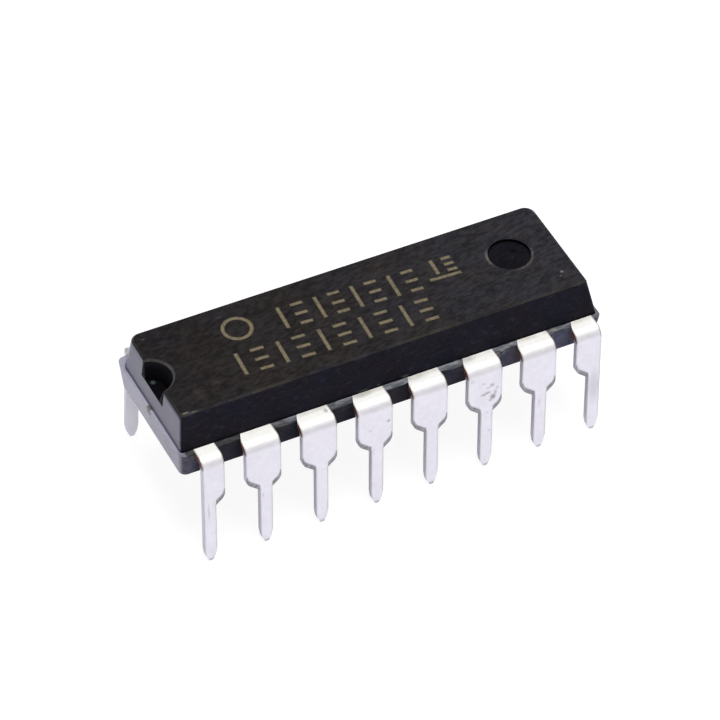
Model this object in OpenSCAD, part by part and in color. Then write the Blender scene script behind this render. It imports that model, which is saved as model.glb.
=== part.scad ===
// Dual in-line integrated circuit: a moulded body round a lead frame with eight leads on each side.
// X runs along the body, with the index notch and lead 1 at -X. Y runs across it, with leads 1 to 8
// at -Y. Z is up. The origin is under the middle of the body, on the plane of the lead tips.
// All sizes are in millimetres and all angles in degrees.

/* [Body] */
// Distance from the last lead's centreline to the body's end, on average of both ends
end_margin = 0.79; // [0.75:0.01:1.4]
// Gap between the body's side and the inside of a leg, at the seating plane
leg_gap = 0.51; // [0.42:0.01:0.7]
// Height of the upper half
upper_height = 1.76; // [1.5:0.01:2.4]
// Height of the lower half
lower_height = 1.39; // [1.1:0.01:2]
// Draft angle of the upper half's long sides
upper_draft = 11; // [5:0.5:14]
// Draft angle of the upper half's end with the notch
notch_end_draft = 5.7; // [3:0.1:12]
// Draft angle of the upper half's far end
far_end_draft = 12; // [3:0.1:14]
// Draft angle of the lower half's long sides
lower_draft = 9; // [4:0.5:12]
// Draft angle of the lower half's ends
lower_end_draft = 5.4; // [3:0.1:12]
// How far the lower half stands out from the upper half along each side
side_step = 0.27; // [0.1:0.01:0.35]
// How far the lower half stands out from the upper half at each end
end_step = 0.11; // [0.05:0.01:0.3]
// Radius of the upper half's corners on the side of lead 1
front_corner_radius = 0.14; // [0.12:0.01:0.6]
// Radius of the upper half's corners on the opposite side
rear_corner_radius = 0.45; // [0.12:0.01:0.8]
// Radius of the lower half's corners
lower_corner_radius = 0.3; // [0.15:0.01:0.6]
// Chamfer round the top face
top_chamfer = 0.08; // [0.02:0.01:0.11]
// Chamfer round the underside
bottom_chamfer = 0.14; // [0.05:0.01:0.3]

/* [Index notch] */
// Radius of the half-round notch below its rim, centred on the upper half's end
notch_radius = 0.95; // [0.7:0.01:1.4]
// Radius of the notch at its floor
notch_floor_radius = 0.68; // [0.4:0.01:1]
// Depth of the notch below the top face
notch_depth = 0.86; // [0.4:0.01:1.2]
// Chamfer round the notch's rim
notch_rim = 0.09; // [0.02:0.01:0.15]
// How far the notch lies off the body's centreline
notch_offset = 0.04; // [-0.1:0.01:0.1]

/* [Ejector mark] */
// Diameter of the round recess left by the ejector pin
ejector_diameter = 1.84; // [1:0.01:2.2]
// Depth of the recess
ejector_depth = 0.15; // [0.05:0.01:0.3]
// Distance from the body's end to the middle of the recess
ejector_inset = 2.68; // [1.8:0.01:4]
// How far the recess lies off the body's centreline
ejector_offset = 0.22; // [-0.5:0.01:0.5]
// Diameter of the dimple in the floor of the recess
dimple_diameter = 0.24; // [0.1:0.01:0.5]
// Place of the dimple from the middle of the recess, along the body
dimple_along = 0.28; // [-0.3:0.01:0.3]
// Place of the dimple from the middle of the recess, across the body
dimple_across = 0.18; // [-0.2:0.01:0.2]
// Depth of the dimple
dimple_depth = 0.03; // [0.01:0.01:0.08]

/* [Leads] */
// Distance between neighbouring leads
lead_pitch = 2.54; // [2.4:0.01:2.7]
// Distance between the middles of the two rows, at the seating plane
row_spacing = 7.62; // [7.4:0.01:8.2]
// How far the lead frame sits off the middle of the body, along it
frame_shift = 0.15; // [-0.2:0.01:0.2]
// Thickness of the strip that the leads are punched from
lead_thickness = 0.25; // [0.2:0.01:0.3]
// Length of the narrow pin below the seating plane
pin_length = 3.05; // [2.9:0.01:3.8]
// Height of the underside above the seating plane
standoff = 1.13; // [0.5:0.01:1.6]
// Width of the pin
pin_width = 0.55; // [0.4:0.01:0.6]
// Width of the shoulder above the pin
shoulder_width = 1.58; // [1.4:0.01:1.7]
// How far the shoulders were punched off the pins' centrelines, towards the notch
shoulder_offset = 0.1; // [-0.12:0.01:0.12]
// Width of the lead where it leaves the body
root_width = 1.32; // [1:0.01:1.5]
// Inside radius of the bend
bend_radius = 0.2; // [0.12:0.01:0.3]
// Angle by which the legs spread outwards
splay = 2.5; // [0:0.5:6]
// How deep inside the body the lead starts to widen towards its shoulder
flare_depth = 0.12; // [0:0.01:0.3]
// Radius of the shoulder's rounded corner
shoulder_radius = 0.5; // [0.2:0.01:0.6]
// Slope of the shoulder's lower edge
shoulder_slope = 40; // [20:1:60]
// Length of the pin's tapered tip
tip_length = 0.65; // [0.4:0.01:0.9]
// Width of the very tip
tip_width = 0.17; // [0.1:0.01:0.3]

/* [Dam bar resin] */
// Reach of the resin left between the hidden row's leads, from the upper half's side
rear_web_reach = 0.34; // [0:0.01:0.45]
// Length by which the resin between the leads is broken back at its ends
web_break = 0.45; // [0.2:0.01:0.6]

/* [Lead frame inside] */
// Length of the paddle under the die
paddle_length = 4.4; // [3.6:0.05:5]
// Width of the paddle
paddle_width = 2.2; // [1.8:0.05:2.4]
// How far the paddle is pressed down below the leads
paddle_drop = 0.3; // [0.15:0.01:0.5]
// Length of the slope between tie bar and paddle
drop_run = 0.4; // [0.3:0.01:0.8]
// Width of the tie bars that hold the paddle
tie_width = 0.3; // [0.2:0.01:0.4]
// Width of the leads' fingers at their bonding ends
finger_width = 0.34; // [0.2:0.01:0.4]
// Gap between a finger and its neighbours
finger_gap = 0.2; // [0.12:0.01:0.3]
// How far the wide root of a lead reaches into the body
root_depth = 0.8; // [0.5:0.01:0.9]

/* [Die and wires] */
// Length of the die
die_length = 2.2; // [1.4:0.05:3]
// Width of the die
die_width = 1.6; // [1.2:0.05:1.7]
// Thickness of the die
die_thickness = 0.28; // [0.2:0.01:0.4]
// Thickness of the die attach layer
attach_thickness = 0.03; // [0.02:0.005:0.06]
// How far the die attach layer squeezes out round the die
attach_margin = 0.08; // [0.02:0.01:0.15]
// Diameter of a bond wire
wire_diameter = 0.033; // [0.025:0.001:0.05]
// Diameter of the ball that joins a wire to the die
ball_diameter = 0.09; // [0.06:0.005:0.12]
// Height of a wire's loop above the die
loop_height = 0.22; // [0.15:0.01:0.4]

/* [Hidden] */
$fn = 48;
leads_per_row = 8;
lead_count = 2 * leads_per_row;
corner_rank = leads_per_row / 2 - 1;

moulding_colour = [0.13, 0.13, 0.15];
tin_colour = [0.86, 0.85, 0.89];
copper_colour = [0.72, 0.45, 0.33];
attach_colour = [0.62, 0.62, 0.6];
die_colour = [0.36, 0.38, 0.44];
gold_colour = [0.9, 0.72, 0.3];

// Heights of the planes that the parts are set out from
underside_z = pin_length + standoff;
parting_z = underside_z + lower_height;
top_z = parting_z + upper_height;
frame_bottom_z = parting_z - lead_thickness;

// Half sizes of the body, at the parting plane and at its two faces
lower_half_length = (leads_per_row - 1) * lead_pitch / 2 + end_margin;
lower_half_width = row_spacing / 2 - lead_thickness / 2 / cos(splay) - leg_gap;
upper_half_length = lower_half_length - end_step;
upper_half_width = lower_half_width - side_step;
// Thin slice used where a hull needs a flat outline
slice = 0.005;
// How far a cutting shape runs on past the face that it cuts
overshoot = 1;
hull_facets = 32;

// Bend of a lead, seen along X: its centre, and the length of the leg below it
outer_radius = bend_radius + lead_thickness;
seat_face_y = row_spacing / 2 + lead_thickness / 2 / cos(splay);
bend_z = parting_z - outer_radius;
bend_y = seat_face_y - (outer_radius + (bend_z - pin_length) * sin(splay)) / cos(splay);
leg_top_z = bend_z + outer_radius * sin(splay);
leg_top_y = bend_y + outer_radius * cos(splay);
neck_depth = (leg_top_z - pin_length) / cos(splay);
tip_depth = (leg_top_z - lead_thickness * sin(splay)) / cos(splay);

// Fingers, the die's bond pads and the paddle, all set out from the frame's own middle
root_end_y = upper_half_width - root_depth;
long_side_y = paddle_width / 2 + finger_gap + finger_width / 2;
short_side_x = paddle_length / 2 + finger_gap;
tie_side_y = tie_width / 2 + finger_gap + finger_width / 2;
finger_step = finger_width + finger_gap;
paddle_top_z = parting_z - paddle_drop;
die_bottom_z = paddle_top_z + attach_thickness;
die_top_z = die_bottom_z + die_thickness;
bond_inset = 0.12;
wire_sides = 6;

// Resin beyond the upper half in each gap of the front row: left end, where it is broken, right end
front_web_reach = [
    [0.30, 0.32, 0.24], [0.36, 0.40, 0.33], [0.44, 0.45, 0.36], [0.32, 0.35, 0.28],
    [0.24, 0.38, 0.42], [0.48, 0.30, 0.05], [0.48, 0.06, 0.04]
];

// Column of a lead, counted from -X, and its place from the frame's middle outwards
function column(n) = n <= leads_per_row ? n : lead_count + 1 - n;
function is_left(n) = column(n) <= leads_per_row / 2;
function is_rear(n) = n > leads_per_row;
function rank(n) = is_left(n) ? leads_per_row / 2 - column(n) : column(n) - leads_per_row / 2 - 1;
function rank_x(rank) = (rank + 0.5) * lead_pitch;
// Towards the notch a shoulder reaches further, which is the inner side on the far half of the body
function lean(n) = is_left(n) ? -shoulder_offset : shoulder_offset;
function inner_half(lean) = shoulder_width / 2 + lean;
// A corner lead has no shoulder on its outer side
function outer_half(rank, lean) = rank == corner_rank ? pin_width / 2 : shoulder_width / 2 - lean;

// Four-sided outline of a straight strip from one point to another
function strip_outline(from, to, from_width, to_width) =
    let (along = (to - from) / norm(to - from), across = [-along.y, along.x] / 2)
    [
        from + across * from_width, to + across * to_width,
        to - across * to_width, from - across * from_width
    ];

// Discs at the corners of a rectangle, for a hull to join
module corner_discs(left_x, right_x, half_width, front_radius, rear_radius, z) {
    for (x = [left_x + front_radius, right_x - front_radius])
        translate([x, front_radius - half_width, z])
            cylinder(h = slice, r = front_radius, $fn = hull_facets);
    for (x = [left_x + rear_radius, right_x - rear_radius])
        translate([x, half_width - rear_radius, z])
            cylinder(h = slice, r = rear_radius, $fn = hull_facets);
}

// Outline of the upper half at a height above the parting plane, drawn in by a chamfer
module upper_discs(height, chamfer) {
    corner_discs(
        -upper_half_length + height * tan(notch_end_draft) + chamfer,
        upper_half_length - height * tan(far_end_draft) - chamfer,
        upper_half_width - height * tan(upper_draft) - chamfer,
        front_corner_radius - chamfer, rear_corner_radius - chamfer,
        parting_z + height - slice
    );
}

module upper_half() {
    hull() {
        upper_discs(0, 0);
        upper_discs(upper_height - top_chamfer, 0);
        upper_discs(upper_height, top_chamfer);
    }
}

// Outline of the lower half at a depth below the parting plane, drawn in by a chamfer
module lower_discs(depth, chamfer) {
    end_x = lower_half_length - depth * tan(lower_end_draft) - chamfer;
    radius = lower_corner_radius - chamfer / 2;
    corner_discs(-end_x, end_x, lower_half_width - depth * tan(lower_draft) - chamfer,
        radius, radius, parting_z - depth - (depth > 0 ? 0 : slice));
}

module lower_half() {
    hull() {
        lower_discs(0, 0);
        lower_discs(lower_height - bottom_chamfer, 0);
        lower_discs(lower_height, bottom_chamfer);
    }
}

// Resin that the dam bar held back, between two leads of one row, as far out as it was left
module dam_web(gap, reach) {
    left_x = frame_shift + (gap - leads_per_row / 2 - 0.5) * lead_pitch + root_width / 2;
    right_x = frame_shift + (gap - leads_per_row / 2 + 0.5) * lead_pitch - root_width / 2;
    inside_y = upper_half_width - side_step;
    translate([0, 0, frame_bottom_z])
        linear_extrude(lead_thickness)
            polygon([
                [left_x, -inside_y],
                [left_x, -upper_half_width - reach[0]],
                [left_x + web_break, -upper_half_width - reach[1]],
                [right_x, -upper_half_width - reach[2]],
                [right_x, -inside_y]
            ]);
}

module dam_webs() {
    for (gap = [1 : leads_per_row - 1]) {
        dam_web(gap, front_web_reach[gap - 1]);
        mirror([0, 1, 0]) dam_web(gap, [rear_web_reach, rear_web_reach, rear_web_reach]);
    }
}

module index_notch() {
    translate([-upper_half_length, notch_offset, top_z - notch_depth])
        rotate_extrude()
            polygon([
                [0, 0],
                [notch_floor_radius, 0],
                [notch_radius, notch_depth - notch_rim],
                [notch_radius + notch_rim + overshoot, notch_depth + overshoot],
                [0, notch_depth + overshoot]
            ]);
}

module ejector_mark() {
    translate([lower_half_length - ejector_inset, ejector_offset, top_z - ejector_depth]) {
        cylinder(h = overshoot, d = ejector_diameter);
        translate([dimple_along, dimple_across, -dimple_depth])
            cylinder(h = overshoot, d = dimple_diameter);
    }
}

module body() {
    color(moulding_colour)
        difference() {
            union() {
                upper_half();
                lower_half();
                dam_webs();
            }
            index_notch();
            ejector_mark();
            for (n = [1 : lead_count]) place(n) lead_shape(rank(n), lean(n));
            paddle();
            attach_layer();
            die_block();
            for (n = [1 : lead_count]) place(n) wire_path(rank(n));
        }
}

// Puts a shape drawn for the +X, -Y quarter of the frame at the place of lead n
module place(n) {
    translate([frame_shift, 0, 0])
        mirror([is_left(n) ? 1 : 0, 0, 0])
            mirror([0, is_rear(n) ? 1 : 0, 0])
                children();
}

// Points that a finger passes, from the lead's root to its bonding end beside the paddle
function finger_points(rank) =
    let (x = rank_x(rank), start = [x - 0.15 * rank * root_width / 2, -root_end_y - finger_width / 2])
    rank == 0 ? [start, [0.17 * paddle_length, -long_side_y]]
    : rank == 1 ? [start, [x - 0.35 * lead_pitch, -long_side_y], [0.36 * paddle_length, -long_side_y]]
    : rank == 2 ? [
        start, [x - 0.4 * lead_pitch, -tie_side_y - 1.4 * finger_step],
        [short_side_x, -tie_side_y - finger_step]
    ]
    : [
        start, [x - 0.25 * lead_pitch, -tie_side_y - finger_step],
        [x - 0.6 * lead_pitch, -tie_side_y], [short_side_x, -tie_side_y]
    ];

// Flat part of a lead: its root, which widens towards the bend, and its finger inside the body
module lead_flat(rank, lean) {
    x = rank_x(rank);
    root_inner = root_width / 2;
    root_outer = min(root_width / 2, outer_half(rank, lean));
    flare_y = upper_half_width - flare_depth;
    points = finger_points(rank);
    last = len(points) - 1;
    root_taper = 2 * finger_width;
    translate([0, 0, frame_bottom_z])
        linear_extrude(lead_thickness) {
            polygon([
                [x - root_inner, -root_end_y],
                [x - root_inner, -flare_y],
                [x - inner_half(lean), -bend_y],
                [x + outer_half(rank, lean), -bend_y],
                [x + root_outer, -flare_y],
                [x + root_outer, -root_end_y]
            ]);
            for (i = [0 : last - 1]) {
                polygon(strip_outline(points[i], points[i + 1],
                    i == 0 ? root_taper : finger_width, finger_width));
                if (i > 0) translate(points[i]) circle(d = finger_width);
            }
        }
}

// The bend, as wide as the shoulder
module bend(rank, lean) {
    translate([0, -bend_y, bend_z])
        rotate([180, -90, 0])
            rotate_extrude(angle = 90 - splay)
                translate([bend_radius, -inner_half(lean)])
                    square([lead_thickness, inner_half(lean) + outer_half(rank, lean)]);
}

// Edge of the leg on a side with a shoulder, from the bend down to the start of the tip
function shoulder_edge(half) =
    let (
        arc_end = 90 - shoulder_slope,
        corner_x = half - shoulder_radius,
        slope_drop = (corner_x + shoulder_radius * cos(arc_end) - pin_width / 2) * tan(shoulder_slope),
        corner_depth = neck_depth - slope_drop - shoulder_radius * sin(arc_end)
    )
    concat(
        [[half, 0]],
        [for (a = [0 : 5 : arc_end])
            [corner_x + shoulder_radius * cos(a), corner_depth + shoulder_radius * sin(a)]],
        [[pin_width / 2, neck_depth]]
    );

function straight_edge() = [[pin_width / 2, 0]];

// Slightly rounded taper of the tip
function tip_edge() = [
    [pin_width / 2, tip_depth - tip_length],
    [0.68 * pin_width / 2 + 0.32 * tip_width / 2, tip_depth - 0.42 * tip_length],
    [tip_width / 2, tip_depth]
];

function leg_outline(rank, lean) =
    let (
        inner_edge = concat(shoulder_edge(inner_half(lean)), tip_edge()),
        outer_side = rank == corner_rank ? straight_edge() : shoulder_edge(outer_half(rank, lean)),
        outer_edge = concat(outer_side, tip_edge()),
        last = len(inner_edge) - 1
    )
    concat(outer_edge, [for (i = [last : -1 : 0]) [-inner_edge[i].x, inner_edge[i].y]]);

module leg(rank, lean) {
    translate([0, -leg_top_y, leg_top_z])
        rotate([-90 - splay, 0, 0])
            linear_extrude(lead_thickness)
                polygon(leg_outline(rank, lean));
}

// A whole lead: the flat with its finger, the bend and the leg
module lead_shape(rank, lean) {
    lead_flat(rank, lean);
    translate([rank_x(rank), 0, 0]) {
        bend(rank, lean);
        leg(rank, lean);
    }
}

module lead(n) {
    color(tin_colour) place(n) lead_shape(rank(n), lean(n));
}

// Height of the paddle's top side along X: tie bars level with the leads, paddle pressed down
module paddle_profile() {
    slope_x = paddle_length / 2 + drop_run;
    left_end = -lower_half_length - frame_shift;
    right_end = lower_half_length - frame_shift;
    upper_line = [
        [left_end, parting_z], [-slope_x, parting_z], [-paddle_length / 2, paddle_top_z],
        [paddle_length / 2, paddle_top_z], [slope_x, parting_z], [right_end, parting_z]
    ];
    last = len(upper_line) - 1;
    polygon(concat(upper_line, [for (i = [last : -1 : 0]) upper_line[i] - [0, lead_thickness]]));
}

module paddle() {
    span = 2 * (lower_half_length + overshoot);
    translate([frame_shift, 0, 0])
        intersection() {
            translate([0, 0, frame_bottom_z - paddle_drop - overshoot])
                linear_extrude(paddle_drop + lead_thickness + 2 * overshoot)
                    union() {
                        square([paddle_length, paddle_width], center = true);
                        square([span, tie_width], center = true);
                    }
            translate([0, paddle_width, 0])
                rotate([90, 0, 0])
                    linear_extrude(2 * paddle_width) paddle_profile();
        }
}

module die_pad() {
    color(copper_colour) paddle();
}

module attach_layer() {
    translate([frame_shift, 0, paddle_top_z])
        linear_extrude(attach_thickness)
            square([die_length + 2 * attach_margin, die_width + 2 * attach_margin], center = true);
}

module die_attach() {
    color(attach_colour) attach_layer();
}

module die_block() {
    translate([frame_shift, 0, die_bottom_z])
        linear_extrude(die_thickness)
            square([die_length, die_width], center = true);
}

module die() {
    color(die_colour) die_block();
}

// Place of the bond pad on the die for a lead, and of the bond on its finger
function pad_point(rank) =
    rank == 0 ? [0.12 * die_length, -die_width / 2 + bond_inset]
    : rank == 1 ? [0.34 * die_length, -die_width / 2 + bond_inset]
    : rank == 2 ? [die_length / 2 - bond_inset, -0.28 * die_width]
    : [die_length / 2 - bond_inset, -0.1 * die_width];

function bond_point(rank) =
    let (
        points = finger_points(rank),
        end = points[len(points) - 1],
        before = points[len(points) - 2]
    )
    end + (before - end) / norm(before - end) * finger_width / 2;

// A bond wire: rings along a path in one upright plane, each with its height, radius and heading
module wire_path(rank) {
    from = pad_point(rank);
    to = bond_point(rank);
    reach = norm(to - from);
    ahead = [(to - from).x, (to - from).y, 0] / reach;
    aside = [-ahead.y, ahead.x, 0];
    radius = wire_diameter / 2;
    ball_height = ball_diameter / 2;
    fall = atan2(loop_height + die_top_z - parting_z, reach);
    // Distance along, height, ring radius and heading of each ring
    rings = [
        [0, die_top_z, ball_diameter / 2, 90],
        [0, die_top_z + ball_height, ball_diameter / 2, 90],
        [0, die_top_z + ball_height + radius, radius, 90],
        [0, die_top_z + loop_height - 3 * radius, radius, 90],
        [1.5 * radius, die_top_z + loop_height, radius, 45 - fall / 2],
        [0.35 * reach, die_top_z + 0.86 * loop_height, radius, -fall],
        [reach - 2 * radius, parting_z + 3 * radius, radius, -fall - 15],
        [reach, parting_z, radius, -90]
    ];
    points = [
        for (ring = rings, side = [0 : wire_sides - 1])
            let (turn = 360 * side / wire_sides)
            [from.x, from.y, 0] + ahead * ring[0] + [0, 0, ring[1]]
                + aside * ring[2] * cos(turn)
                + (ahead * sin(ring[3]) - [0, 0, cos(ring[3])]) * ring[2] * sin(turn)
    ];
    last = len(rings) - 1;
    walls = [
        for (i = [0 : last - 1], side = [0 : wire_sides - 1])
            let (a = i * wire_sides + side, b = i * wire_sides + (side + 1) % wire_sides)
            each [[a, b, a + wire_sides], [b, b + wire_sides, a + wire_sides]]
    ];
    start_cap = [for (side = [wire_sides - 1 : -1 : 0]) side];
    end_cap = [for (side = [0 : wire_sides - 1]) last * wire_sides + side];
    polyhedron(points = points, faces = concat(walls, [start_cap, end_cap]), convexity = 4);
}

module bond_wire(n) {
    color(gold_colour) place(n) wire_path(rank(n));
}

body();
die_pad();
die_attach();
die();
for (n = [1 : lead_count]) {
    lead(n);
    bond_wire(n);
}
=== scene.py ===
import math
from types import SimpleNamespace

import bmesh
import bpy
from bpy.props import FloatProperty, FloatVectorProperty, PointerProperty
from mathutils import Matrix, Vector


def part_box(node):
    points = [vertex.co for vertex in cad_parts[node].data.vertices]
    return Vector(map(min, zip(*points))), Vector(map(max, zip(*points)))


bl_info = {
    "name": "Dual in-line circuit",
    "version": (1, 0, 0),
    "blender": (4, 5, 0),
    "location": "3D View > Sidebar > Circuit",
    "description": "Finishes, plain marks and studio for a sixteen-lead moulded circuit",
    "category": "Object",
}

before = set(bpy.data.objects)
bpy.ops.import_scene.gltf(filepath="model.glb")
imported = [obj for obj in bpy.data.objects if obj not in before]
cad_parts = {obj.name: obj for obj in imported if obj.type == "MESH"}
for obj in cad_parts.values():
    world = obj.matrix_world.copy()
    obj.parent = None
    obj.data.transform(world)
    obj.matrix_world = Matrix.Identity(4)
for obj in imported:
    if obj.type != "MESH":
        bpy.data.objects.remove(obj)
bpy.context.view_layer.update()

MM = 0.001
LEAD_COUNT = sum(1 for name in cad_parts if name.startswith("lead_"))
LEADS_PER_ROW = LEAD_COUNT // 2

# Planes and places on the moulding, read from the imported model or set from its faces
BODY_LOW, BODY_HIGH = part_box("body")
TOP_Z = BODY_HIGH.z
PARTING_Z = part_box("die_pad")[1].z
WALL_Y = BODY_HIGH.y - 0.27 * MM
NOTCH_CENTRE = Vector((BODY_LOW.x + 0.11 * MM, 0.04 * MM, TOP_Z))
NOTCH_RADIUS = 1.03 * MM
NOTCH_DEPTH = 0.86 * MM
RECESS_CENTRE = Vector((BODY_HIGH.x - 2.68 * MM, 0.22 * MM, TOP_Z))
RECESS_RADIUS = 0.925 * MM
RECESS_DEPTH = 0.2 * MM
GLINT_CENTRE = Vector((-9.25, 0.45, 6.50)) * MM
GLINT_REACH = Vector((0.16, 0.16, 0.14)) * MM

# Widths across the front of a lead, from its pin's centreline, and heights along it
SHOULDER_LEFT = 0.89 * MM
SHOULDER_RIGHT = 0.69 * MM
PIN_HALF = 0.275 * MM
SHOULDER_RADIUS = 0.5 * MM
SHOULDER_SLOPE = math.radians(40.0)
ROLLED_WIDTH = 0.11 * MM
EDGE_BAND = 0.08 * MM
NECK_Z = 3.25 * MM
BEND_Z = 5.12 * MM
LEAD_TOP_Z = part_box("lead_2")[1].z
LEAD_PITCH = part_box("lead_3")[0].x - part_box("lead_2")[0].x
SECOND_PIN_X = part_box("lead_2")[0].x + SHOULDER_LEFT
FIRST_PIN_X = SECOND_PIN_X - LEAD_PITCH
LAST_PIN_X = FIRST_PIN_X + (LEADS_PER_ROW - 1) * LEAD_PITCH

# Colours of the moulding that no setting covers
# Painted shadow: the near-black line on the long sides just above the leads
LEAD_ROOT_SHADOW_COLOUR = (0.0015, 0.0014, 0.0014)
LEDGE_COLOUR = (0.36, 0.36, 0.45)
GLINT_COLOUR = (0.045, 0.062, 0.058)
# Colour of the scuffs and flakes, and of the painted highlights at the top's front-left corner and
# the notch's far rim
SCUFF_AND_HIGHLIGHT_COLOUR = (0.26, 0.25, 0.22)
COOL_TINT = (0.90, 0.99, 1.16)
WARM_TINT = (1.12, 1.00, 0.84)

# Colours of the metal, the inner parts and the floor that no setting covers
ROOT_COLOUR = (0.42, 0.39, 0.33)
STAIN_COLOUR = (0.16, 0.14, 0.135)
# Painted reflection: near-white tin on the inner faces of the far row
INNER_TIN_REFLECTION = (0.97, 0.96, 0.99)
ROLLED_COPPER = (0.13, 0.095, 0.065)
STAINED_COPPER = (0.055, 0.040, 0.036)
PADDLE_COPPER = (0.45, 0.25, 0.18)
PADDLE_SHADE = (0.27, 0.15, 0.11)
CUT_END_COLOUR = (0.16, 0.13, 0.13)
ATTACH_COLOUR = (0.42, 0.42, 0.40)
SILICON_COLOUR = (0.12, 0.13, 0.17)
GOLD_COLOUR = (0.80, 0.55, 0.18)
FLOOR_LIT = (0.80, 0.79, 0.88)
FLOOR_SEEN = (0.16, 0.16, 0.16)
FLOOR_GLOW = 0.905

# Turn and stretch of the streaks on the moulding, and reach of the ragged edges of the stains
STREAK_TURN = math.radians(14.0)
STREAK_SHAPE = (0.42, 1.0, 1.0)
RAGGED_REACH = 0.06 * MM

# Rows of plain marks, in millimetres: start, length, pitch and share of the set height
MARKING_ROWS = (
    ((-3.66, 0.02, 0.0), 6.6, 0.83, 1.0),
    ((-6.32, -1.80, 0.0), 9.1, 0.92, 1.0),
    ((3.42, 0.58, 0.0), 1.3, 0.66, 0.68),
)
UNDERLINE_CENTRE = (3.98 * MM, 0.36 * MM)
UNDERLINE_HALF = 0.70 * MM
RING_CENTRE = (-5.22 * MM, 0.80 * MM, 0.0)
STROKE_EDGE = 0.03 * MM

# Stains on the tin, in millimetres: centre, reach and strength
TIN_MARKS = (
    ((3.61, -3.87, 4.63), (0.10, 0.3, 0.08), 0.22),
    ((3.79, -3.87, 4.72), (0.12, 0.3, 0.08), 0.30),
    ((4.18, -3.87, 4.52), (0.15, 0.3, 0.14), 0.50),
    ((4.00, -3.87, 4.42), (0.17, 0.3, 0.08), 0.32),
    ((3.80, -3.88, 4.10), (0.22, 0.3, 0.11), 0.52),
    ((3.97, -3.88, 4.15), (0.22, 0.3, 0.10), 0.58),
    ((4.24, -3.90, 3.85), (0.19, 0.3, 0.23), 0.72),
    ((4.35, -3.90, 4.05), (0.11, 0.3, 0.22), 0.42),
    ((4.13, -3.90, 3.70), (0.13, 0.3, 0.14), 0.45),
    ((4.44, -3.88, 4.29), (0.10, 0.3, 0.13), 0.32),
    ((3.25, -3.86, 5.05), (0.16, 0.3, 0.16), 0.20),
    ((4.08, -3.98, 2.00), (0.09, 0.3, 0.09), 0.32),
    ((3.98, -3.95, 3.05), (0.10, 0.3, 0.10), 0.20),
    ((-0.61, -3.87, 4.49), (0.11, 0.3, 0.12), 0.62),
    ((-1.45, -3.87, 4.25), (0.15, 0.3, 0.09), 0.22),
    ((-1.30, -3.95, 3.00), (0.10, 0.3, 0.30), 0.15),
    ((-8.80, -3.95, 2.80), (0.07, 0.3, 0.65), 0.28),
    ((-6.35, -3.95, 2.70), (0.07, 0.3, 0.20), 0.22),
    ((6.45, -3.95, 2.60), (0.12, 0.3, 0.35), 0.16),
    ((-3.18, -3.19, 5.57), (0.12, 0.18, 0.1), 0.60),
    ((-1.45, -2.97, 5.57), (0.70, 0.30, 0.12), 0.42),
    ((3.35, -2.97, 5.57), (0.80, 0.36, 0.12), 0.34),
    ((0.95, -2.95, 5.57), (0.95, 0.42, 0.12), 0.34),
    ((9.06, -4.00, 2.50), (0.40, 0.5, 1.40), 0.24),
    ((-9.10, 3.40, 5.57), (0.50, 0.45, 0.14), 0.45),
)

# Scuffs, resin flakes beside the leads, and painted highlights on the top's front-left corner and
# the notch's far rim: centre, reach and strength
SCUFFS_AND_HIGHLIGHTS = (
    ((8.49, -1.64, 7.33), (0.10, 0.08, 0.1), 0.55),
    ((8.33, -1.84, 7.33), (0.06, 0.06, 0.1), 0.25),
    ((-9.14, -2.46, 7.33), (0.22, 0.07, 0.1), 0.38),
    ((-8.80, -2.52, 7.33), (0.30, 0.05, 0.1), 0.18),
    ((-8.94, 2.10, 7.33), (0.16, 0.06, 0.1), 0.14),
    ((-9.45, 0.95, 7.30), (0.20, 0.08, 0.1), 0.50),
    ((-7.28, -1.43, 7.33), (0.30, 0.14, 0.1), 0.06),
    ((-8.15, -1.70, 7.33), (0.40, 0.50, 0.1), 0.04),
    ((-5.60, 1.95, 7.33), (0.25, 0.06, 0.1), 0.07),
    ((4.72, -3.26, 5.48), (0.17, 0.14, 0.2), 0.50),
    ((4.98, -3.16, 5.48), (0.20, 0.14, 0.2), 0.48),
    ((5.24, -3.06, 5.48), (0.22, 0.13, 0.2), 0.55),
    ((5.52, -2.98, 5.50), (0.20, 0.11, 0.2), 0.50),
    ((4.55, -2.98, 5.50), (0.10, 0.10, 0.2), 0.45),
    ((7.10, 0.14, 7.25), (0.13, 0.04, 0.12), 0.16),
    ((7.45, -3.00, 5.52), (0.26, 0.16, 0.2), 0.50),
    ((7.20, -3.05, 5.50), (0.14, 0.12, 0.2), 0.35),
    ((2.95, -3.00, 5.60), (0.22, 0.14, 0.14), 0.45),
    ((0.62, -2.97, 5.68), (0.30, 0.14, 0.10), 0.40),
    ((-1.30, -2.97, 5.66), (0.45, 0.14, 0.09), 0.30),
    ((-0.62, -2.97, 5.70), (0.16, 0.14, 0.10), 0.28),
)

# Camera's target, and soft lamps: turn and height in degrees, distance, size, power, target
CAMERA_TARGET = Vector((1.0077, 1.9297, 2.0895)) * MM
LAMPS = (
    ("Overhead_lamp", 20, 86, 0.35, 0.18, 1.45, Vector((0, 0, PARTING_Z))),
    ("Front_lamp", 10, 10, 0.35, 0.24, 0.52, Vector((0, 0, PARTING_Z))),
    ("Sheen_lamp", 149.5, 43, 0.15, 0.05, 0.013, Vector((9.0, 2.0, 7.3)) * MM),
)
WORLD_LIGHT = 0.25
FLOOR_HALF = 0.6


# Node helpers

def add(tree, kind, inputs=None, **settings):
    """Adds a node, sets its options, then sets or links its inputs by name or number."""
    node = tree.nodes.new(kind)
    for name, value in settings.items():
        setattr(node, name, value)
    for socket, value in (inputs or {}).items():
        if isinstance(value, bpy.types.NodeSocket):
            tree.links.new(value, node.inputs[socket])
        else:
            node.inputs[socket].default_value = value
    return node


def maths(tree, operation, *values, clamp=False):
    """One Math node; returns its result."""
    return add(tree, "ShaderNodeMath", dict(enumerate(values)),
               operation=operation, use_clamp=clamp).outputs[0]


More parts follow.
